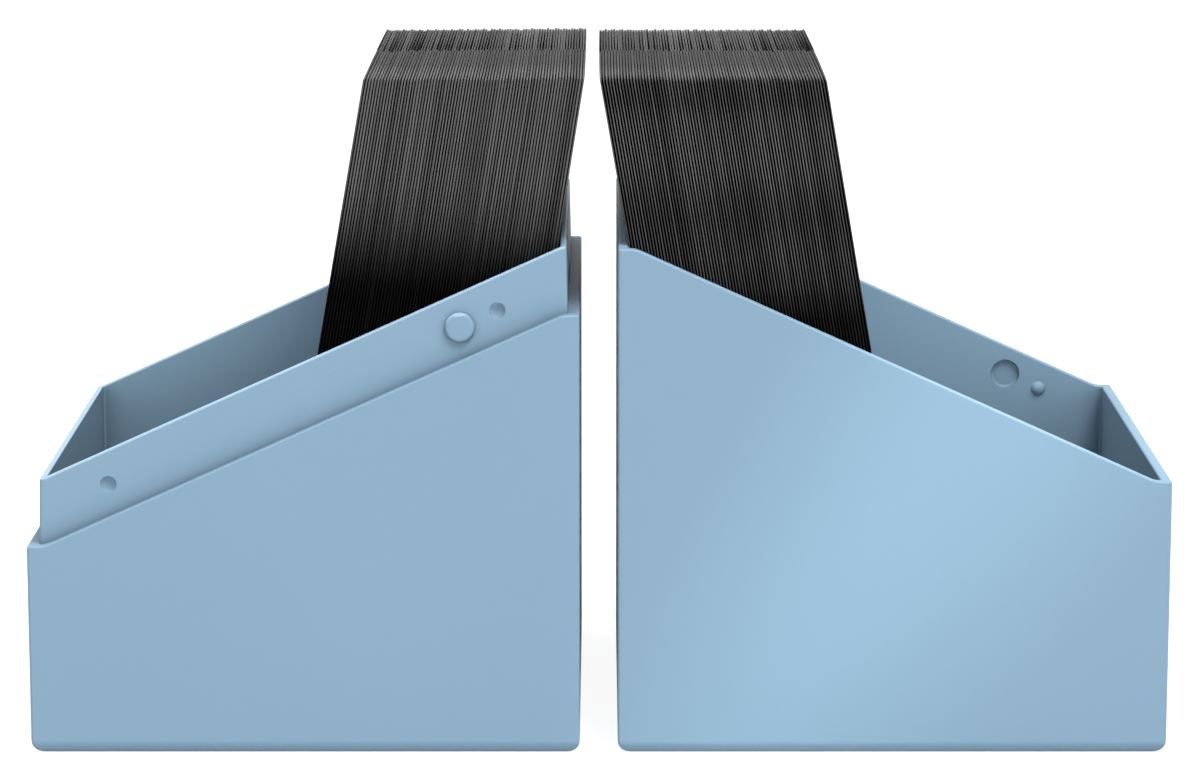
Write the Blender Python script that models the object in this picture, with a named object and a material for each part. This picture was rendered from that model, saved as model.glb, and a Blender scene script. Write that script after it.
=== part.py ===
"""A two-part card case, open, with a leaning stack of sleeved cards standing in each half.

Both halves stand on the ground side by side, mouths up and high ends together. The base half has a collar
inside its sloping shoulder. Turned upside down about X, the cap half slides over that collar until its rim
meets the shoulder. Metres, +Z up, X along the stacks, the photographed side towards -Y.
"""

import math

import bmesh
import bpy

# Sleeved cards, in packs of three; five packs move together as a leaf
CARD_WIDTH = 0.066
CARD_HEIGHT = 0.091
CARD_CORNER_RADIUS = 0.0006
CARD_PITCH = 0.00039
CARDS_PER_PACK = 3
PACKS_PER_STACK = 25
PACKS_PER_LEAF = 5
PACK_GAP = 0.00006
REST_GAP = 0.0003
BASE_LEAN_FIRST = math.radians(8.65)
BASE_LEAN_LAST = math.radians(9.7)
CAP_LEAN_FIRST = math.radians(9.4)
CAP_LEAN_LAST = math.radians(9.6)

# The closed case, outside, and the room that it leaves round the cards
CASE_WIDTH = 0.0744
SIDE_CLEARANCE = 0.0005
HEADROOM = 0.0042
BOTTOM_RADIUS = 0.0019
CORNER_RADIUS = 0.0004

# Where the two halves part: a slope between two short level stretches
SHOULDER_LOW = 0.0289
SHOULDER_HIGH = 0.0604
RIM_LEVEL = 0.0023
RIM_BEND_RADIUS = 0.003

# Walls
CAP_WALL = 0.00145
FIT_CLEARANCE = 0.0001
COLLAR_WALL = 0.0009
COLLAR_HEIGHT = 0.009
COLLAR_TAPER = 0.0002
FLOOR = 0.0015
EDGE_RADIUS = 0.0003
INNER_CORNER_RADIUS = 0.0004
INNER_FLOOR_RADIUS = 0.0003

# Round snap features on the collar and inside the cap: a dimple near each end, a disc beside the high one
DISC_RADIUS = 0.00205
DISC_PROUD = 0.0006
DISC_EDGE_RADIUS = 0.0005
DISC_SPACING = 0.005
DIMPLE_RADIUS = 0.0012
DIMPLE_DEPTH = 0.0007
DIMPLE_INSET = 0.011
SNAP_HEIGHT = 0.0043
SNAP_CLEARANCE = 0.0001
SNAP_ROOT = 0.0004

# The open case: the halves stand apart so far that the leaning tops of both stacks keep this gap
STACK_TOP_GAP = 0.00265

# Looks
BLUE = (0.30, 0.47, 0.62)
BLUE_ROUGHNESS = 0.5
BLACK = (0.035, 0.035, 0.036)
BLACK_ROUGHNESS = 0.35

# How finely curves are divided
BOTTOM_STEPS = 6
CORNER_STEPS = 4
EDGE_STEPS = 3
STATION_STEP = 0.0005
STATIONS_PER_END = 8
ROUND_STEPS = 32
DOME_STEPS = 6
MERGE_DISTANCE = 0.000001

# Sizes that follow from those above
COLLAR_INSET = CAP_WALL + FIT_CLEARANCE
BASE_INNER_INSET = COLLAR_INSET + COLLAR_TAPER + COLLAR_WALL
CASE_DEPTH = CARD_WIDTH + 2 * (SIDE_CLEARANCE + BASE_INNER_INSET)
CLOSED_HEIGHT = CARD_HEIGHT + 2 * FLOOR + HEADROOM
CAP_LOW = CLOSED_HEIGHT - SHOULDER_HIGH
CAP_HIGH = CLOSED_HEIGHT - SHOULDER_LOW
PACK_THICKNESS = CARDS_PER_PACK * CARD_PITCH - PACK_GAP

# Which way along X each half rises
BASE_RISE = 1
CAP_RISE = -1


def clear_scene():
    for found in list(bpy.data.objects):
        bpy.data.objects.remove(found, do_unlink=True)


def principled(name, colour, roughness):
    """A plain Principled material."""
    material = bpy.data.materials.new(name)
    material.use_nodes = True
    shader = material.node_tree.nodes["Principled BSDF"]
    shader.inputs["Base Color"].default_value = (*colour, 1.0)
    shader.inputs["Roughness"].default_value = roughness
    shader.inputs["Metallic"].default_value = 0.0
    return material


def add_object(name, mesh, spot, parent=None):
    """An object at a spot in its parent's frame; without a mesh it is an empty."""
    made = bpy.data.objects.new(name, mesh)
    bpy.context.scene.collection.objects.link(made)
    made.location = spot
    made.parent = parent
    return made


def smooth_by_angle(mesh):
    mesh.shade_smooth()
    mesh.set_sharp_from_angle(angle=math.radians(35))


def quarter_arc(radius, steps):
    """(across, up) of a quarter circle: from (0, 0), straight up at first, to (radius, radius)."""
    turns = [step / steps * math.pi / 2 for step in range(steps + 1)]
    return [(radius * (1 - math.cos(turn)), radius * math.sin(turn)) for turn in turns]


def rim_rise(along, low, high):
    """Height of a rim at a distance from its low end: level, a bend, the slope, a bend, level."""
    run = CASE_WIDTH - 2 * RIM_LEVEL
    if along > CASE_WIDTH / 2:
        return low + high - rim_rise(CASE_WIDTH - along, low, high)
    angle = math.atan2(high - low, run)
    bend_reach = RIM_BEND_RADIUS * math.tan(angle / 2)
    into_bend = along - (RIM_LEVEL - bend_reach)
    if into_bend <= 0:
        return low
    if into_bend < RIM_BEND_RADIUS * math.sin(angle):
        return low + RIM_BEND_RADIUS - math.sqrt(RIM_BEND_RADIUS**2 - into_bend**2)
    return low + (along - RIM_LEVEL) * math.tan(angle)


def rim_height(rise, low, high):
    """The rim's height as a function of the half's own X; rise says which way it climbs."""
    return lambda x: rim_rise(CASE_WIDTH / 2 + rise * x, low, high)


def level_height(z):
    return lambda x: z


def plan_points(inset, corner_radius):
    """The outline of the case seen from above, drawn in by inset, with close stations at both ends."""
    half_x = CASE_WIDTH / 2 - inset - corner_radius
    half_y = CASE_DEPTH / 2 - inset - corner_radius
    points = []
    for quarter, (side_x, side_y) in enumerate([(1, 1), (-1, 1), (-1, -1), (1, -1)]):
        for step in range(CORNER_STEPS + 1):
            turn = (quarter + step / CORNER_STEPS) * math.pi / 2
            across = side_x * half_x + corner_radius * math.cos(turn)
            points.append((across, side_y * half_y + corner_radius * math.sin(turn)))
        if side_x == side_y:
            reach = side_y * (half_y + corner_radius)
            near_end = [half_x - STATION_STEP * k for k in range(1, STATIONS_PER_END + 1)]
            stations = near_end + [-across for across in reversed(near_end)]
            points += [(side_x * across, reach) for across in stations]
    return points


def ring(inset, corner_radius, height, drop=0.0):
    """One closed loop of points round the case, its height given by a function of x, lowered by drop."""
    return [(x, y, height(x) - drop) for x, y in plan_points(inset, corner_radius)]


def bottom_rings():
    """From the ground face up round the bottom edge to the outer wall."""
    arc = quarter_arc(BOTTOM_RADIUS, BOTTOM_STEPS)
    return [
        ring(BOTTOM_RADIUS - up, CORNER_RADIUS, level_height(across))
        for across, up in arc
    ]


def outer_edge_rings(inset, corner_radius, height):
    """Round the outer edge of a rim whose wall lies at inset."""
    arc = quarter_arc(EDGE_RADIUS, EDGE_STEPS)
    return [ring(inset + across, corner_radius, height, EDGE_RADIUS - up) for across, up in arc]


def inner_edge_rings(inset, corner_radius, height):
    """Round the inner edge of a rim, down to the inner wall at inset."""
    arc = reversed(quarter_arc(EDGE_RADIUS, EDGE_STEPS))
    return [ring(inset - across, corner_radius, height, EDGE_RADIUS - up) for across, up in arc]


def hollow_rings(inset):
    """From the inner wall at inset round to the floor."""
    arc = quarter_arc(INNER_FLOOR_RADIUS, EDGE_STEPS)
    return [
        ring(inset + across, INNER_CORNER_RADIUS, level_height(FLOOR + INNER_FLOOR_RADIUS - up))
        for across, up in arc
    ]


def loft(name, rings):
    """One closed body through the rings, in order, with a flat face in the first and in the last."""
    sheet = bmesh.new()
    loops = [[sheet.verts.new(point) for point in points] for points in rings]
    for lower, upper in zip(loops, loops[1:]):
        for here in range(len(lower)):
            after = (here + 1) % len(lower)
            sheet.faces.new((lower[here], lower[after], upper[after], upper[here]))
    sheet.faces.new(reversed(loops[0]))
    sheet.faces.new(loops[-1])
    bmesh.ops.recalc_face_normals(sheet, faces=sheet.faces)
    mesh = bpy.data.meshes.new(name)
    sheet.to_mesh(mesh)
    sheet.free()
    smooth_by_angle(mesh)
    return mesh


def base_shell():
    shoulder = rim_height(BASE_RISE, SHOULDER_LOW, SHOULDER_HIGH)
    collar = rim_height(BASE_RISE, SHOULDER_LOW + COLLAR_HEIGHT, SHOULDER_HIGH + COLLAR_HEIGHT)
    rings = bottom_rings()
    rings += outer_edge_rings(0.0, CORNER_RADIUS, shoulder)
    rings.append(ring(COLLAR_INSET, INNER_CORNER_RADIUS, shoulder))
    rings += outer_edge_rings(COLLAR_INSET + COLLAR_TAPER, INNER_CORNER_RADIUS, collar)
    rings += inner_edge_rings(BASE_INNER_INSET, INNER_CORNER_RADIUS, collar)
    rings += hollow_rings(BASE_INNER_INSET)
    return loft("base_half", rings)


def cap_shell():
    rim = rim_height(CAP_RISE, CAP_LOW, CAP_HIGH)
    rings = bottom_rings()
    rings += outer_edge_rings(0.0, CORNER_RADIUS, rim)
    rings += inner_edge_rings(CAP_WALL, INNER_CORNER_RADIUS, rim)
    rings += hollow_rings(CAP_WALL)
    return loft("cap_half", rings)


def turned(name, profile):
    """A solid of revolution about Y from (radius, y) points that start and end on the axis."""
    solid = bmesh.new()
    points = [solid.verts.new((radius, y, 0.0)) for radius, y in profile]
    edges = [solid.edges.new(pair) for pair in zip(points, points[1:])]
    bmesh.ops.spin(
        solid,
        geom=points + edges,
        cent=(0.0, 0.0, 0.0),
        axis=(0.0, 1.0, 0.0),
        angle=math.tau,
        steps=ROUND_STEPS,
        use_merge=True,
    )
    bmesh.ops.remove_doubles(solid, verts=solid.verts, dist=MERGE_DISTANCE)
    bmesh.ops.recalc_face_normals(solid, faces=solid.faces)
    mesh = bpy.data.meshes.new(name)
    solid.to_mesh(mesh)
    solid.free()
    smooth_by_angle(mesh)
    return mesh


def button_profile(radius, proud, edge_radius):
    """A flat round button that stands proud towards -Y, with a rounded edge and a root behind."""
    rounded = quarter_arc(edge_radius, EDGE_STEPS)
    outline = [(0.0, SNAP_ROOT), (radius, SNAP_ROOT)]
    outline += [(radius - across, edge_radius - proud - up) for across, up in rounded]
    return outline + [(0.0, -proud)]


def dome_profile(radius, height):
    """A shallow dome towards -Y, part of a ball, with a root behind."""
    ball = (radius**2 + height**2) / (2 * height)
    half_angle = math.asin(min(radius / ball, 1.0))
    outline = [(0.0, SNAP_ROOT), (radius, SNAP_ROOT)]
    for step in range(DOME_STEPS):
        angle = half_angle * (1 - step / DOME_STEPS)
        outline.append((ball * math.sin(angle), ball - height - ball * math.cos(angle)))
    return outline + [(0.0, -height)]


def snap_spots(rise):
    """(x, shoulder height) of the disc and of both dimples, on a half that climbs the way rise says."""
    shoulder = rim_height(rise, SHOULDER_LOW, SHOULDER_HIGH)
    far_dimple = CASE_WIDTH - DIMPLE_INSET
    along = [far_dimple - DISC_SPACING, DIMPLE_INSET, far_dimple]
    across = [rise * (place - CASE_WIDTH / 2) for place in along]
    return [(x, shoulder(x)) for x in across]


def apply_round(half, kind, tool_mesh, spot, towards_y, operation):
    """Joins or cuts one round feature at spot (x, y, z); towards_y is the way that its face looks."""
    tool = add_object(f"{half.name}_{kind}", tool_mesh, spot, half)
    if towards_y > 0:
        tool.rotation_euler = (0.0, 0.0, math.pi)
    tool.hide_render = True
    tool.display_type = "WIRE"
    cut = half.modifiers.new(kind, "BOOLEAN")
    cut.operation = operation
    cut.solver = "EXACT"
    cut.object = tool


def add_base_snaps(half):
    """Discs that stand out of the collar and dimples sunk in it, on its near and far faces."""
    wall = CASE_DEPTH / 2 - COLLAR_INSET
    disc = turned("snap_disc", button_profile(DISC_RADIUS, DISC_PROUD, DISC_EDGE_RADIUS))
    dimple = turned("snap_dimple", dome_profile(DIMPLE_RADIUS, DIMPLE_DEPTH))
    for side, side_name in ((-1, "near"), (1, "far")):
        spots = snap_spots(BASE_RISE)
        x, z = spots[0]
        apply_round(half, f"disc_{side_name}", disc, (x, side * wall, z + SNAP_HEIGHT), side, "UNION")
        for number, (x, z) in enumerate(spots[1:], 1):
            spot = (x, side * wall, z + SNAP_HEIGHT)
            apply_round(half, f"dimple_{number}_{side_name}", dimple, spot, -side, "DIFFERENCE")


def add_cap_snaps(half):
    """The matching pockets and bumps inside the cap's near and far walls, as far below its rim."""
    wall = CASE_DEPTH / 2 - CAP_WALL
    pocket_radius = DISC_RADIUS + SNAP_CLEARANCE
    pocket = turned(
        "snap_pocket",
        button_profile(pocket_radius, DISC_PROUD, DISC_EDGE_RADIUS),
    )
    bump = turned(
        "snap_bump",
        dome_profile(DIMPLE_RADIUS - SNAP_CLEARANCE, DIMPLE_DEPTH - SNAP_CLEARANCE),
    )
    for side, side_name in ((-1, "near"), (1, "far")):
        spots = [(x, CLOSED_HEIGHT - z - SNAP_HEIGHT) for x, z in snap_spots(BASE_RISE)]
        x, z = spots[0]
        apply_round(half, f"pocket_{side_name}", pocket, (x, side * wall, z), side, "DIFFERENCE")
        for number, (x, z) in enumerate(spots[1:], 1):
            apply_round(half, f"bump_{number}_{side_name}", bump, (x, side * wall, z), -side, "UNION")


def keep_flats_flat(half):
    """Lets the large faces set the shading, so that the small roundings don't bend it."""
    weighted = half.modifiers.new("weighted_normals", "WEIGHTED_NORMAL")
    weighted.keep_sharp = True


def pack_mesh(material):
    """Three sleeved cards pressed together: its foot on Z = 0, its wall side in the plane X = 0."""
    sheet = bmesh.new()
    half_y = CARD_WIDTH / 2 - CARD_CORNER_RADIUS
    low = CARD_CORNER_RADIUS
    high = CARD_HEIGHT - CARD_CORNER_RADIUS
    centres = [(half_y, high), (-half_y, high), (-half_y, low), (half_y, low)]
    outline = []
    for quarter, (y, z) in enumerate(centres):
        for step in range(EDGE_STEPS + 1):
            turn = (quarter + step / EDGE_STEPS) * math.pi / 2
            across = y + CARD_CORNER_RADIUS * math.cos(turn)
            outline.append((0.0, across, z + CARD_CORNER_RADIUS * math.sin(turn)))
    face = sheet.faces.new([sheet.verts.new(point) for point in outline])
    grown = bmesh.ops.extrude_face_region(sheet, geom=[face])
    moved = [item for item in grown["geom"] if isinstance(item, bmesh.types.BMVert)]
    bmesh.ops.translate(sheet, verts=moved, vec=(PACK_THICKNESS, 0.0, 0.0))
    bmesh.ops.recalc_face_normals(sheet, faces=sheet.faces)
    mesh = bpy.data.meshes.new("card_pack")
    sheet.to_mesh(mesh)
    sheet.free()
    mesh.materials.append(material)
    return mesh


def pack_feet(rim, first_lean, last_lean):
    """(distance from the high wall to the lowest edge, lean) of each pack, the first resting on the rim."""
    lean_step = (last_lean - first_lean) / (PACKS_PER_STACK - 1)
    foot = REST_GAP + (rim - FLOOR - REST_GAP) * math.tan(first_lean)
    feet = []
    for number in range(PACKS_PER_STACK):
        lean = first_lean + number * lean_step
        feet.append((foot, lean))
        foot += CARDS_PER_PACK * CARD_PITCH / math.cos(lean) + CARD_HEIGHT * lean_step
    return feet


def overhang(wall_inset, feet):
    """How far the top of the first pack reaches past the outer face of the high wall."""
    foot, lean = feet[0]
    return CARD_HEIGHT * math.sin(lean) - foot - wall_inset


def stand_stack(half, name, mesh, wall_inset, away, feet):
    """Stands the packs in a half, on its floor, away from its high wall along X.

    Every leaf after the first tips about an axis along Y at the low outer edge of its last pack.
    """
    wall_x = -away * (CASE_WIDTH / 2 - wall_inset)
    floor_z = FLOOR + REST_GAP
    first_x = wall_x + away * feet[0][0]
    stack = add_object(f"{name}_stack", None, (first_x, 0.0, floor_z), half)
    for first in range(0, PACKS_PER_STACK, PACKS_PER_LEAF):
        leaf, leaf_x, leaf_z = stack, first_x, floor_z
        if first > 0:
            foot, lean = feet[first + PACKS_PER_LEAF - 1]
            leaf_x = wall_x + away * (foot + PACK_THICKNESS * math.cos(lean))
            leaf_z = floor_z + PACK_THICKNESS * math.sin(lean)
            spot = (leaf_x - first_x, 0.0, leaf_z - floor_z)
            leaf = add_object(f"{name}_leaf_{first // PACKS_PER_LEAF + 1}", None, spot, stack)
        for number, (foot, lean) in enumerate(feet[first : first + PACKS_PER_LEAF], first + 1):
            spot = (wall_x + away * foot - leaf_x, 0.0, floor_z - leaf_z)
            pack = add_object(f"{name}_cards_{number:02d}", mesh, spot, leaf)
            pack.rotation_euler = (0.0, -lean, 0.0 if away > 0 else math.pi)


def main():
    clear_scene()
    base_feet = pack_feet(
        SHOULDER_HIGH + COLLAR_HEIGHT - EDGE_RADIUS,
        BASE_LEAN_FIRST,
        BASE_LEAN_LAST,
    )
    cap_feet = pack_feet(CAP_HIGH - EDGE_RADIUS, CAP_LEAN_FIRST, CAP_LEAN_LAST)
    reach = overhang(BASE_INNER_INSET, base_feet) + overhang(CAP_WALL, cap_feet)
    half_centre = (CASE_WIDTH + STACK_TOP_GAP + reach) / 2

    base = add_object("base_half", base_shell(), (-half_centre, 0.0, 0.0))
    base.data.materials.append(principled("base_blue", BLUE, BLUE_ROUGHNESS))
    add_base_snaps(base)
    keep_flats_flat(base)
    base_pack = pack_mesh(principled("base_sleeve_black", BLACK, BLACK_ROUGHNESS))
    stand_stack(base, "base", base_pack, BASE_INNER_INSET, -BASE_RISE, base_feet)

    cap = add_object("cap_half", cap_shell(), (half_centre, 0.0, 0.0))
    cap.data.materials.append(principled("cap_blue", BLUE, BLUE_ROUGHNESS))
    add_cap_snaps(cap)
    keep_flats_flat(cap)
    cap_pack = pack_mesh(principled("cap_sleeve_black", BLACK, BLACK_ROUGHNESS))
    stand_stack(cap, "cap", cap_pack, CAP_WALL, -CAP_RISE, cap_feet)


main()
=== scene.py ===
"""Looks of the open card case: smooth moulded halves and single sleeves, on a white studio floor."""

import bisect
import math
import random

import bmesh
import bpy
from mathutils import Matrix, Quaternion, Vector


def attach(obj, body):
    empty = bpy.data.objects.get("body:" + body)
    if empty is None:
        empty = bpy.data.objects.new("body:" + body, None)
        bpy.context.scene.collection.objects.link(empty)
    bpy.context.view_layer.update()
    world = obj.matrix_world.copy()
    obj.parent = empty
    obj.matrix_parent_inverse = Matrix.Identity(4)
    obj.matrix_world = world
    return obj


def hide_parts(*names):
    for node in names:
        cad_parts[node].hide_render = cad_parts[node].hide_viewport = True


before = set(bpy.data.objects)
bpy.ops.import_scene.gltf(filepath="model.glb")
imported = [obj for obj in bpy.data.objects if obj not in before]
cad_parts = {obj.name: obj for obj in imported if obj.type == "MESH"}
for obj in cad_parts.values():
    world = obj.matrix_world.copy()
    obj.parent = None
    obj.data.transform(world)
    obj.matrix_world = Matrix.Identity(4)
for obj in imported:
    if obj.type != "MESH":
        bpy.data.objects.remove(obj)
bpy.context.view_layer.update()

MM = 0.001
DICE = random.Random(41)

# Meshes: points this near are one, faces this flat are one, and edges from this angle on stay sharp.
WELD_DISTANCE = 0.001 * MM
FLAT_WITHIN = math.radians(0.05)
SHARP_FROM = math.radians(35)

# The stacks, as the part holds them, and the side on X that each leans to.
PACKS = 25
PACKS_PER_LEAF = 5
SLEEVES_PER_PACK = 3
LEAN_WAY = {"base": 1, "cap": -1}

# How far along +X a stack's first and last sleeve stand from their packs, in mm: at the feet, at the tops.
SETTLED = {
    "base": ((-0.45, -0.05), (0.26, 0.37)),
    "cap": ((0.32, 0.57), (-0.53, 0.14)),
}

# A sleeve, in mm: places and lengths along Y, from the middle of the card to its far side, and depths.
HALF_CARD = 33.0
SLOT_START = 3.2
SLOT_DEPTH = 1.6
EDGE_ROUNDING = 0.08
EDGE_RAMP = 0.8
TOP_SPARE = 0.01
BEVEL_DROP = 1.6  # for a bevel of one pitch

# A sleeve, as shares of the way from one sleeve to the next.
SEAM_SHARE = {"base": 0.59, "cap": 0.4}
SLOT_SHARES = (0.3, 0.44, 0.52, 0.6, 0.68)
SLOT_GAPE = 0.35

# How much a sleeve differs from the next, in mm, but for the last one, a share.
FAR_END_SPREAD = 0.07
FAR_TOP_SPREAD, FAR_TOP_LIMIT = 0.06, 0.2
SLOT_START_SPREAD = 0.4
SEAM_SPREAD = (0.85, 1.15)

# Painted sheen on the film, 0 black and 1 pale: down the seams as (height, sheen), and along the tops. The
# pale is a painted highlight standing in for reflections on the seams and tops, and the seams fade to black
# towards the foot as painted shade where the case shades the stack.
BASE_PAINTED_SHEEN = (
    (0.0, 0.0), (0.68, 0.0), (0.7, 0.02), (0.725, 0.09), (0.75, 0.22),
    (0.77, 0.37), (0.8, 0.56), (0.84, 0.78), (1.0, 0.95),
)
CAP_PAINTED_SHEEN = (
    (0.0, 0.03), (0.64, 0.09), (0.67, 0.25), (0.69, 0.47), (0.73, 0.62), (0.79, 0.52),
    (0.82, 0.62), (0.87, 1.0), (0.93, 1.0), (0.965, 0.62), (0.99, 0.64), (1.0, 0.75),
)
TOP_PAINTED_SHEEN = 0.5
TOP_PAINTED_SHEEN_LIMIT = 3.0
TOP_PAINTED_SHEEN_HEIGHTS = (0.99, 0.9945)
GROOVE_PAINTED_SHEEN = 0.35
TONE_RANGE = (0.7, 1.3)
FILM_BLACK = (0.0015, 0.0015, 0.0017)
# Painted highlight: the pale film colour that the painted sheen mixes in.
FILM_PAINTED_SHEEN = (0.16, 0.16, 0.16)
BACK_BLACK = (0.011, 0.011, 0.012)
BACK_BORDER = (0.019, 0.019, 0.02)
BORDER_START = 31.2 * MM
BORDER_EDGE = 0.25 * MM

# The moulded blue: two tones on the walls and two paler ones on the base's rim as a painted highlight, and
# painted shade where walls close in.
WALL_TONES = (0.286, 0.449, 0.594), (0.304, 0.471, 0.615)
# Painted highlight: the rim tones are paler than the walls where light catches the rim.
RIM_PAINTED_HIGHLIGHT_TONES = (0.386, 0.584, 0.743), (0.41, 0.612, 0.768)
WALL_SPECULAR = 0.04
RIM_SPECULAR = 0.35
RIM_BAND = 0.4 * MM
LOWEST_RIM = 35.0 * MM
# Painted shade: how far the creases and the hollows reach, and how dark they are painted.
CREASE_REACH = 3.5 * MM
CREASE_PAINTED_SHADE = (0.53, 0.53, 0.53)
HOLLOW_REACH = 45.0 * MM
HOLLOW_PAINTED_SHADE = (0.6, 0.51, 0.47)
OPENNESS_SAMPLES = 8

# The studio, in metres and watts.
FLOOR_REACH = 6.0
FLOOR_TONES = (0.42, 0.42, 0.42), (0.45, 0.45, 0.45)
FLOOR_GLOW = 0.92
WORLD_LIGHT = 0.25
WORLD_WHITE = 1.0
SHEEN_PLACE = Vector((0.42, -0.446, 0.75))
SHEEN_AIM = Vector((0.0588, -0.036, 0.0564))
SHEEN_CONE = math.radians(5.914)
SHEEN_BLEND = 0.707
SHEEN_RADIUS = 0.012
SHEEN_POWER = 16.6
SHEEN_TURN = 0.3328
SHEEN_FLATTENING = 0.4816

# The camera, fitted to the photograph's edges: the focal length is in pixels of its width.
PHOTO_WIDTH = 1200
FOCAL_PIXELS = 4313.3
SENSOR_WIDTH = 36.0
CAMERA_PLACE = (0.00017, -0.6025, 0.15525)
CAMERA_PITCH = 10.491
CLIP_RANGE = (0.01, 50.0)

# Sockets of Blender's Mix node, which share their names: two values and their mix, two colours and theirs.
MIX_VALUES = (2, 3)
MIX_VALUE_OUT = 0
MIX_COLOURS = (6, 7)
MIX_COLOUR_OUT = 2


# Materials


def new_material(name):
    material = bpy.data.materials.new(name)
    material.use_nodes = True
    return material, material.node_tree, material.node_tree.nodes["Principled BSDF"]


def noise(tree, coords, scale, detail, roughness=0.5):
    made = tree.nodes.new("ShaderNodeTexNoise")
    made.inputs["Scale"].default_value = scale
    made.inputs["Detail"].default_value = detail
    made.inputs["Roughness"].default_value = roughness
    tree.links.new(coords, made.inputs["Vector"])
    return made.outputs["Fac"]


def spread(tree, value, low, high, from_low=0.3, from_high=0.7):
    """The value, clamped and mapped to low and high. The default range is where noise mostly lies."""
    made = tree.nodes.new("ShaderNodeMapRange")
    made.inputs["From Min"].default_value = from_low
    made.inputs["From Max"].default_value = from_high
    made.inputs["To Min"].default_value = low
    made.inputs["To Max"].default_value = high
    tree.links.new(value, made.inputs["Value"])
    return made.outputs["Result"]


def two_tone(tree, factor, first, second):
    made = tree.nodes.new("ShaderNodeMix")
    made.data_type = "RGBA"
    for socket, colour in zip(MIX_COLOURS, (first, second)):
        made.inputs[socket].default_value = (*colour, 1.0)
    tree.links.new(factor, made.inputs["Factor"])
    return made.outputs[MIX_COLOUR_OUT]


def attribute(tree, name):
    made = tree.nodes.new("ShaderNodeAttribute")
    made.attribute_name = name
    return made.outputs["Fac"]


def maths(tree, operation, first, second):
    made = tree.nodes.new("ShaderNodeMath")
    made.operation = operation
    tree.links.new(first, made.inputs[0])
    tree.links.new(second, made.inputs[1])
    return made.outputs[0]


def bump(tree, height, strength, distance, normal=None):
    made = tree.nodes.new("ShaderNodeBump")
    made.inputs["Strength"].default_value = strength
    made.inputs["Distance"].default_value = distance
    tree.links.new(height, made.inputs["Height"])
    if normal is not None:
        tree.links.new(normal, made.inputs["Normal"])
    return made.outputs["Normal"]


def paint_shade_by_openness(tree, colour, reach, closed_painted_shade):
    """The colour, times a painted shade that sets in as the half's own walls close a place in within reach.
    """
    open_share = tree.nodes.new("ShaderNodeAmbientOcclusion")
    open_share.only_local = True
    open_share.samples = OPENNESS_SAMPLES
    open_share.inputs["Distance"].default_value = reach
    tint = two_tone(tree, open_share.outputs["AO"], closed_painted_shade, (1.0, 1.0, 1.0))
    shaded = tree.nodes.new("ShaderNodeMix")
    shaded.data_type = "RGBA"
    shaded.blend_type = "MULTIPLY"
    shaded.inputs["Factor"].default_value = 1.0
    for socket, link in zip(MIX_COLOURS, (colour, tint)):
        tree.links.new(link, shaded.inputs[socket])
    return shaded.outputs[MIX_COLOUR_OUT]


def moulded_blue(name, tones, specular):
    """Matte moulded plastic: a fine spark-eroded grain, faint clouding, slight unevenness in sheen, and
    painted shade in its creases and hollows.
    """
    material, tree, shader = new_material(name)
    coords = tree.nodes.new("ShaderNodeTexCoord").outputs["Object"]
    clouds = noise(tree, coords, scale=22.0, detail=3.0)
    mottle = noise(tree, coords, scale=900.0, detail=4.0, roughness=0.6)
    grain = noise(tree, coords, scale=2600.0, detail=2.0, roughness=0.6)
    mottle_share = 0.35
    tint = tree.nodes.new("ShaderNodeMath")
    tint.operation = "MULTIPLY_ADD"
    tint.inputs[1].default_value = mottle_share
    tree.links.new(mottle, tint.inputs[0])
    tree.links.new(spread(tree, clouds, low=0.1, high=0.55), tint.inputs[2])
    colour = two_tone(tree, tint.outputs[0], *tones)
    # Painted shade: darker in the creases and deep in the hollows, where the half's walls close in.
    colour = paint_shade_by_openness(tree, colour, CREASE_REACH, CREASE_PAINTED_SHADE)
    colour = paint_shade_by_openness(tree, colour, HOLLOW_REACH, HOLLOW_PAINTED_SHADE)
    tree.links.new(colour, shader.inputs["Base Color"])
    shader.inputs["Specular IOR Level"].default_value = specular
    tree.links.new(spread(tree, mottle, low=0.34, high=0.42), shader.inputs["Roughness"])
    tree.links.new(bump(tree, grain, strength=0.12, distance=0.03 * MM), shader.inputs["Normal"])
    return material


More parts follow.
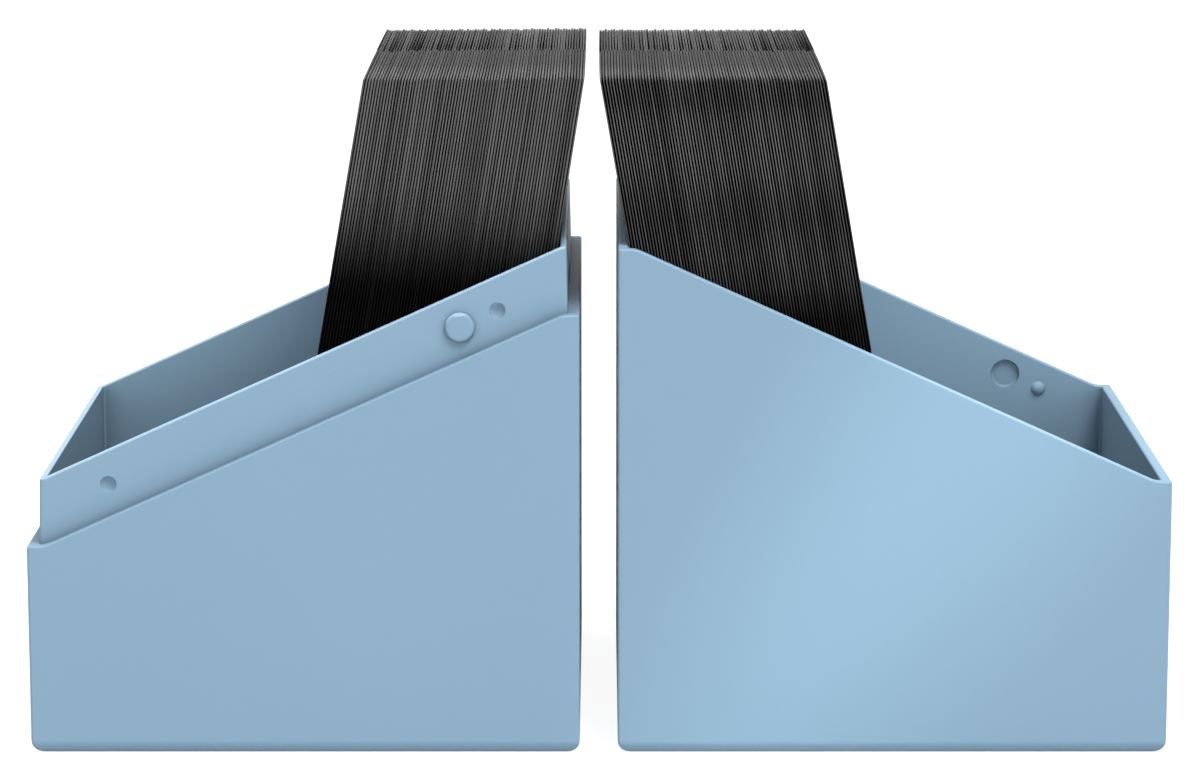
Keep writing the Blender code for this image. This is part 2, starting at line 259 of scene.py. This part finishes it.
def sleeve_film(name, painted_sheen_by_height):
    """Black film with a soft gloss, painted paler along its open top and down its near and far seams as a
    painted highlight for reflections, and dark towards the foot as painted shade.
    """
    material, tree, shader = new_material(name)
    coords = tree.nodes.new("ShaderNodeTexCoord").outputs["Object"]
    haze = noise(tree, coords, scale=120.0, detail=4.0, roughness=0.6)
    grain = noise(tree, coords, scale=3000.0, detail=2.0)
    climb = attribute(tree, "climb")
    ramp = tree.nodes.new("ShaderNodeValToRGB")
    stops = ramp.color_ramp.elements
    while len(stops) < len(painted_sheen_by_height):
        stops.new(0.5)
    for stop, (height, painted_sheen) in zip(stops, sorted(painted_sheen_by_height)):
        stop.position = height
        stop.color = (painted_sheen, painted_sheen, painted_sheen, 1.0)
    tree.links.new(climb, ramp.inputs["Fac"])
    # Painted highlight and shade: the pale seams stand in for reflections and fade to black towards the foot
    # as painted shade.
    seam_painted_sheen = maths(tree, "MULTIPLY", ramp.outputs["Color"], attribute(tree, "seam"))
    top_range = (0.0, TOP_PAINTED_SHEEN * TOP_PAINTED_SHEEN_LIMIT, 0.0, TOP_PAINTED_SHEEN_LIMIT)
    top_painted_sheen = spread(tree, attribute(tree, "top"), *top_range)
    top_painted_sheen = maths(tree, "MULTIPLY", top_painted_sheen, spread(tree, climb, 0.0, 1.0, *TOP_PAINTED_SHEEN_HEIGHTS))
    painted_sheen = maths(tree, "MAXIMUM", seam_painted_sheen, top_painted_sheen)
    varied = maths(tree, "MULTIPLY", painted_sheen, spread(tree, attribute(tree, "tone"), *TONE_RANGE, 0.0, 1.0))
    hazed_painted_sheen = maths(tree, "MULTIPLY", varied, spread(tree, haze, low=0.88, high=1.12))
    colour = two_tone(tree, hazed_painted_sheen, FILM_BLACK, FILM_PAINTED_SHEEN)
    tree.links.new(colour, shader.inputs["Base Color"])
    tree.links.new(spread(tree, haze, low=0.44, high=0.54), shader.inputs["Roughness"])
    shader.inputs["Specular IOR Level"].default_value = 0.03
    tree.links.new(bump(tree, grain, strength=0.1, distance=0.02 * MM), shader.inputs["Normal"])
    return material


def sleeve_back():
    """The broad black face of a sleeve: a fine matte texture, and smooth welded borders down its sides."""
    material, tree, shader = new_material("sleeve_back")
    coords = tree.nodes.new("ShaderNodeTexCoord").outputs["Object"]
    haze = noise(tree, coords, scale=70.0, detail=4.0, roughness=0.6)
    grain = noise(tree, coords, scale=1300.0, detail=3.0, roughness=0.6)
    axes = tree.nodes.new("ShaderNodeSeparateXYZ")
    tree.links.new(coords, axes.inputs["Vector"])
    off_middle = tree.nodes.new("ShaderNodeMath")
    off_middle.operation = "ABSOLUTE"
    tree.links.new(axes.outputs["Y"], off_middle.inputs[0])
    border = spread(tree, off_middle.outputs[0], 0.0, 1.0, BORDER_START, BORDER_START + BORDER_EDGE)
    border_lift = spread(tree, border, low=0.0, high=0.35, from_low=0.0, from_high=1.0)
    tint = maths(tree, "ADD", haze, border_lift)
    colour = two_tone(tree, tint, BACK_BLACK, BACK_BORDER)
    tree.links.new(colour, shader.inputs["Base Color"])
    tree.links.new(spread(tree, haze, low=0.4, high=0.52), shader.inputs["Roughness"])
    shader.inputs["Specular IOR Level"].default_value = 0.3
    weld = bump(tree, border, strength=0.6, distance=-0.06 * MM)
    textured = bump(tree, grain, strength=0.3, distance=0.03 * MM, normal=weld)
    tree.links.new(textured, shader.inputs["Normal"])
    return material


def seen_directly(tree):
    """1 for what the camera sees, itself or in a gloss or through glass."""
    path = tree.nodes.new("ShaderNodeLightPath")
    seen = maths(tree, "MAXIMUM", path.outputs["Is Camera Ray"], path.outputs["Is Glossy Ray"])
    return maths(tree, "MAXIMUM", seen, path.outputs["Is Transmission Ray"])


def floor_white():
    """A white studio floor that the camera sees as bright, and that still takes the object's shadow."""
    material, tree, shader = new_material("floor_white")
    coords = tree.nodes.new("ShaderNodeTexCoord").outputs["Object"]
    paper = noise(tree, coords, scale=40.0, detail=3.0)
    colour = two_tone(tree, paper, *FLOOR_TONES)
    tree.links.new(colour, shader.inputs["Base Color"])
    shader.inputs["Roughness"].default_value = 0.9
    shader.inputs["Specular IOR Level"].default_value = 0.1
    glow = tree.nodes.new("ShaderNodeEmission")
    glow.inputs["Strength"].default_value = FLOOR_GLOW
    both = tree.nodes.new("ShaderNodeAddShader")
    tree.links.new(shader.outputs["BSDF"], both.inputs[0])
    tree.links.new(glow.outputs["Emission"], both.inputs[1])
    choice = tree.nodes.new("ShaderNodeMixShader")
    tree.links.new(seen_directly(tree), choice.inputs["Fac"])
    tree.links.new(shader.outputs["BSDF"], choice.inputs[1])
    tree.links.new(both.outputs["Shader"], choice.inputs[2])
    output = tree.nodes["Material Output"]
    tree.links.new(choice.outputs["Shader"], output.inputs["Surface"])
    return material


# The moulded halves


def mark_rim(mesh):
    """Give the second material, whose paler tones are a painted highlight, to the narrow band and the
    roundings of a rim that rises along +X.
    """
    profile = []
    for along, height in sorted((vertex.co.x, vertex.co.z) for vertex in mesh.vertices):
        if height > LOWEST_RIM and (not profile or height >= profile[-1][1]):
            profile.append((along, height))
    stations = [along for along, _ in profile]
    for face in mesh.polygons:
        along = face.center.x
        after = min(max(bisect.bisect_left(stations, along), 1), len(profile) - 1)
        (from_along, from_height), (to_along, to_height) = profile[after - 1], profile[after]
        share = (along - from_along) / max(to_along - from_along, WELD_DISTANCE)
        rim = from_height + (to_height - from_height) * min(max(share, 0.0), 1.0)
        if face.center.z > rim - RIM_BAND:
            face.material_index = 1


def smooth_half(half, wall, rim=None):
    """The half's own solid, welded and shaded smooth, so that its roundings don't show as facets."""
    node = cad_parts[f"{half}_half"]
    points = [node.matrix_world @ vertex.co for vertex in node.data.vertices]
    faces = [tuple(face.vertices) for face in node.data.polygons]
    mesh = bpy.data.meshes.new(f"{half}_moulding")
    mesh.from_pydata(points, [], faces)
    work = bmesh.new()
    work.from_mesh(mesh)
    bmesh.ops.remove_doubles(work, verts=work.verts, dist=WELD_DISTANCE)
    bmesh.ops.dissolve_limit(work, angle_limit=FLAT_WITHIN, verts=work.verts, edges=work.edges)
    bmesh.ops.recalc_face_normals(work, faces=work.faces)
    work.to_mesh(mesh)
    work.free()
    mesh.materials.append(wall)
    if rim is not None:
        mesh.materials.append(rim)
        mark_rim(mesh)
    mesh.shade_smooth()
    mesh.set_sharp_from_angle(angle=SHARP_FROM)
    made = bpy.data.objects.new(f"{half}_moulding", mesh)
    bpy.context.scene.collection.objects.link(made)
    weighted = made.modifiers.new("weighted_normals", "WEIGHTED_NORMAL")
    weighted.keep_sharp = True
    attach(made, half)
    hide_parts(f"{half}_half")


# The sleeves


def pack_frame(half, number):
    """Where a pack stands: its centre, the way up its cards, the way through them, and its half height."""
    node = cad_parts[f"{half}_cards_{number:02d}"]
    points = [node.matrix_world @ vertex.co for vertex in node.data.vertices]
    over = max(points, key=lambda point: LEAN_WAY[half] * point.x)
    foot = min(points, key=lambda point: point.z)
    up = Vector((over.x - foot.x, 0.0, over.z - foot.z)).normalized()
    across = Vector((up.z, 0.0, -up.x))
    heights = [point.dot(up) for point in points]
    reach = [point.dot(across) for point in points]
    centre = up * (max(heights) + min(heights)) / 2 + across * (max(reach) + min(reach)) / 2
    return centre, up, across, (max(heights) - min(heights)) / 2


def sleeve_pitches(packs):
    """Sleeve to sleeve at the feet and at the tops, so that the sleeves fill their stack evenly."""
    first, last = packs[0], packs[-1]
    steps = (len(packs) - 1) * SLEEVES_PER_PACK
    pitches = []
    for end in (-1, 1):
        reach = (last[0] + last[1] * last[3] * end) - (first[0] + first[1] * first[3] * end)
        pitches.append(abs(reach.dot(first[2])) / steps)
    return pitches


class Waver:
    """A value that drifts from sleeve to sleeve and now and then jumps, as in a hand-squared stack."""

    def __init__(self, middle, drift, jump, odds, limit):
        self.middle, self.drift, self.jump, self.odds, self.limit = middle, drift, jump, odds, limit
        self.value = middle

    def next(self):
        if DICE.random() < self.odds:
            self.value = self.middle + DICE.gauss(0.0, self.jump)
        self.value += DICE.gauss(0.0, self.drift)
        self.value = max(self.middle - self.limit, min(self.middle + self.limit, self.value))
        return self.value


def sleeve_sections(half, near_top, near_end, along):
    """Sections of a sleeve from its near seam to its far one. Each is its place on Y in mm, its thickness,
    slot and bevel as shares of the pitch, the rise of its top in mm, and the painted sheen on its seam and
    its top."""
    near = -HALF_CARD + near_end
    far = HALF_CARD - abs(DICE.gauss(0.0, FAR_END_SPREAD))
    seam = SEAM_SHARE[half] * DICE.uniform(*SEAM_SPREAD)
    far_top = -min(FAR_TOP_LIMIT, abs(DICE.gauss(0.0, FAR_TOP_SPREAD)))
    slot = DICE.choice(SLOT_SHARES) * (1.0 + SLOT_GAPE * along ** 2)
    slot_start = SLOT_START + DICE.gauss(0.0, SLOT_START_SPREAD)
    return [
        # The near seam and its rounded edge.
        (near, seam * 0.8, 0.0, 0.1, near_top - 0.12, 1.0, 2.0),
        (near + EDGE_ROUNDING / 2, seam, 0.0, 0.14, near_top - 0.05, 0.5, 2.9),
        (near + EDGE_ROUNDING, seam, 0.0, 0.14, near_top, 0.0, 2.9),
        (near + EDGE_RAMP, seam + 0.08, 0.0, 0.16, near_top, 0.0, 2.4),
        # The closed top, thickening over the card.
        (-27.0, 0.86, 0.0, 0.2, near_top * 0.5, 0.0, 1.75),
        (-16.0, 0.98, 0.0, 0.2, 0.0, 0.0, 0.8),
        (-9.0, 1.0, 0.0, 0.16, 0.0, 0.0, 0.62),
        (slot_start - EDGE_RAMP, 1.0, 0.0, 0.16, 0.0, 0.0, 0.65),
        # The open top, widest near its start.
        (slot_start, 1.0, slot, 0.04, 0.0, 0.0, 1.4),
        (slot_start + 4.0, 1.0, slot, 0.04, 0.0, 0.0, 1.4),
        (20.0, 0.99, slot * 0.75, 0.05, 0.0, 0.0, 1.45),
        (30.0, 0.97, slot * 0.5, 0.08, far_top * 0.8, 0.0, 1.45),
        # The far seam.
        (far - EDGE_RAMP, 0.94, 0.0, 0.1, far_top, 0.0, 1.45),
        (far - 0.1, 0.9, 0.0, 0.1, far_top, 0.5, 1.45),
        (far, 0.82, 0.0, 0.1, far_top - 0.1, 1.0, 1.45),
    ]


def open_sides(half, number, card):
    """The broad faces of a sleeve, -1 and 1 along X, that lie open when its leaf is tipped."""
    outer_card = {-1: 0, 1: SLEEVES_PER_PACK - 1}
    way = LEAN_WAY[half]
    sides = []
    if number % PACKS_PER_LEAF == 1 and card == outer_card[way]:
        sides.append(way)
    if number % PACKS_PER_LEAF == 0 and card == outer_card[-way]:
        sides.append(-way)
    return sides


def settled_by(half, level, sleeves_along):
    """How far along +X a point stands from its pack, at the feet (level 0) or the tops (1), in metres.
    sleeves_along counts sleeves from the high wall."""
    first, last = SETTLED[half][level]
    return (first + (last - first) * sleeves_along / (PACKS * SLEEVES_PER_PACK - 1)) * MM


def section_outline(section):
    """One section's corners, up one side, over the lips of the slot and down the other side. Each is its
    place through the sleeve in pitches, 1 at the top or 0 at the foot, its rise in mm, and its painted top
    sheen."""
    _, share, slot, bevel, rise, _, top_painted_sheen = section
    side, lip = share / 2, slot / 2
    shoulder = rise - bevel * BEVEL_DROP
    # The bevel shoulders carry less of the painted top sheen: painted shade in the grooves between sleeves.
    shoulder_painted_sheen = top_painted_sheen * GROOVE_PAINTED_SHEEN
    middle = (0.0, 1, rise - SLOT_DEPTH, 0.0) if slot > 0 else (0.0, 1, rise, top_painted_sheen)
    return [
        (-side, 0, 0.0, 0.0),
        (-side, 1, shoulder, shoulder_painted_sheen),
        (bevel - side, 1, rise, top_painted_sheen),
        (-lip, 1, rise, top_painted_sheen),
        middle,
        (lip, 1, rise, top_painted_sheen),
        (side - bevel, 1, rise, top_painted_sheen),
        (side, 1, shoulder, shoulder_painted_sheen),
        (side, 0, 0.0, 0.0),
    ]


def add_sleeve(work, layers, pack, pitches, half, number, card, sections):
    """One sleeve, lofted along Y through its sections, open along its top where they have a slot."""
    centre, up, across, half_height = pack
    place_in_pack = card - (SLEEVES_PER_PACK - 1) / 2
    pack_along = (number - 1) * SLEEVES_PER_PACK + (SLEEVES_PER_PACK - 1) / 2
    sides = open_sides(half, number, card)
    tone = DICE.random()
    loops = []
    for section in sections:
        y, seam = section[0], section[5]
        loop = []
        for through, top, rise, painted_sheen in section_outline(section):
            climb = half_height * (2 * top - 1) + (rise - top * TOP_SPARE) * MM
            off_centre = place_in_pack + through
            place = centre + up * climb + across * pitches[top] * off_centre
            place.x += settled_by(half, top, pack_along - LEAN_WAY[half] * off_centre)
            vertex = work.verts.new((place.x, place.y + y * MM, place.z))
            vertex[layers["tone"]] = tone
            vertex[layers["climb"]] = (climb + half_height) / (2 * half_height)
            # The seam and top attributes carry the painted sheen of the film.
            vertex[layers["seam"]] = seam
            vertex[layers["top"]] = painted_sheen
            loop.append(vertex)
        loops.append(loop)
    broad = {0: -1, len(loops[0]) - 2: 1}
    for near, far in zip(loops, loops[1:]):
        for here in range(len(near)):
            after = (here + 1) % len(near)
            face = work.faces.new((near[here], near[after], far[after], far[here]))
            face.material_index = 1 if broad.get(here) in sides else 0
    work.faces.new(reversed(loops[0]))
    work.faces.new(loops[-1])


def stack_of_sleeves(half, film, back):
    """A stack's packs, each as its single sleeves in one object that rides on the pack's leaf."""
    packs = [pack_frame(half, number) for number in range(1, PACKS + 1)]
    pitches = sleeve_pitches(packs)
    near_top = Waver(middle=-0.12, drift=0.06, jump=0.17, odds=0.2, limit=0.11)
    near_end = Waver(middle=0.06, drift=0.02, jump=0.05, odds=0.3, limit=0.06)
    for number, pack in enumerate(packs, 1):
        work = bmesh.new()
        layers = {name: work.verts.layers.float.new(name) for name in ("tone", "climb", "seam", "top")}
        for card in range(SLEEVES_PER_PACK):
            sections = sleeve_sections(half, near_top.next(), near_end.next(), number / PACKS)
            add_sleeve(work, layers, pack, pitches, half, number, card, sections)
        bmesh.ops.dissolve_degenerate(work, dist=WELD_DISTANCE, edges=work.edges)
        bmesh.ops.recalc_face_normals(work, faces=work.faces)
        mesh = bpy.data.meshes.new(f"{half}_sleeves_{number:02d}")
        work.to_mesh(mesh)
        work.free()
        mesh.materials.append(film)
        mesh.materials.append(back)
        made = bpy.data.objects.new(mesh.name, mesh)
        bpy.context.scene.collection.objects.link(made)
        leaf = (number - 1) // PACKS_PER_LEAF + 1
        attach(made, f"{half}_stack" if leaf == 1 else f"{half}_leaf_{leaf}")
        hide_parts(f"{half}_cards_{number:02d}")


# Floor, light and camera


def add_floor(material):
    mesh = bpy.data.meshes.new("floor")
    side = FLOOR_REACH
    corners = [(-side, -side, 0.0), (side, -side, 0.0), (side, side, 0.0), (-side, side, 0.0)]
    mesh.from_pydata(corners, [], [(0, 1, 2, 3)])
    mesh.materials.append(material)
    floor = bpy.data.objects.new("floor", mesh)
    bpy.context.scene.collection.objects.link(floor)


def add_world():
    """White where it is seen, and a soft light on the object."""
    world = bpy.data.worlds.new("studio")
    bpy.context.scene.world = world
    world.use_nodes = True
    tree = world.node_tree
    background = tree.nodes["Background"]
    background.inputs["Color"].default_value = (1.0, 1.0, 1.0, 1.0)
    strength = tree.nodes.new("ShaderNodeMix")
    strength.data_type = "FLOAT"
    for socket, level in zip(MIX_VALUES, (WORLD_LIGHT, WORLD_WHITE)):
        strength.inputs[socket].default_value = level
    tree.links.new(seen_directly(tree), strength.inputs["Factor"])
    tree.links.new(strength.outputs[MIX_VALUE_OUT], background.inputs["Strength"])


def add_area(name, place, aim, width, height, power):
    light = bpy.data.lights.new(name, "AREA")
    light.shape = "RECTANGLE"
    light.size = width
    light.size_y = height
    light.energy = power
    made = bpy.data.objects.new(name, light)
    bpy.context.scene.collection.objects.link(made)
    made.location = place
    made.rotation_euler = (Vector(aim) - Vector(place)).to_track_quat("-Z", "Y").to_euler()


def add_sheen():
    """A narrow slanting beam that lays the pale diagonal band over the cap's front, sharper on its left."""
    light = bpy.data.lights.new("sheen_spot", "SPOT")
    light.spot_size = SHEEN_CONE
    light.spot_blend = SHEEN_BLEND
    light.shadow_soft_size = SHEEN_RADIUS
    light.energy = SHEEN_POWER
    made = bpy.data.objects.new("sheen_spot", light)
    bpy.context.scene.collection.objects.link(made)
    made.location = SHEEN_PLACE
    aimed = (SHEEN_AIM - SHEEN_PLACE).to_track_quat("-Z", "Y")
    made.rotation_euler = (aimed @ Quaternion((0.0, 0.0, 1.0), SHEEN_TURN)).to_euler()
    made.scale = (1.0, SHEEN_FLATTENING, 1.0)


def add_camera():
    data = bpy.data.cameras.new("camera")
    data.sensor_width = SENSOR_WIDTH
    data.lens = FOCAL_PIXELS / PHOTO_WIDTH * SENSOR_WIDTH
    data.clip_start, data.clip_end = CLIP_RANGE
    camera = bpy.data.objects.new("camera", data)
    bpy.context.scene.collection.objects.link(camera)
    camera.location = CAMERA_PLACE
    camera.rotation_euler = (math.radians(90 - CAMERA_PITCH), 0.0, 0.0)
    bpy.context.scene.camera = camera


add_camera()
wall_blue = moulded_blue("moulded_blue", WALL_TONES, WALL_SPECULAR)
# The rim material's paler tones are a painted highlight.
rim_blue_painted_highlight = moulded_blue("moulded_blue_rim_painted_highlight", RIM_PAINTED_HIGHLIGHT_TONES, RIM_SPECULAR)
smooth_half("base", wall_blue, rim_blue_painted_highlight)
smooth_half("cap", wall_blue)
back = sleeve_back()
stack_of_sleeves("base", sleeve_film("base_film", BASE_PAINTED_SHEEN), back)
stack_of_sleeves("cap", sleeve_film("cap_film", CAP_PAINTED_SHEEN), back)
add_floor(floor_white())
add_world()
add_area("key_box", place=(0.42, -0.55, 1.21), aim=(0.0, 0.0, 0.03), width=0.7, height=0.5, power=13.4)
add_area("fill_box", place=(0.15, -1.6, 0.25), aim=(0.0, 0.0, 0.04), width=1.4, height=0.4, power=7.9)
add_area("top_box", place=(-0.4, 0.05, 1.35), aim=(0.0, 0.0, 0.03), width=0.8, height=0.7, power=9.0)
add_sheen()

bpy.context.scene.view_settings.view_transform = "Standard"
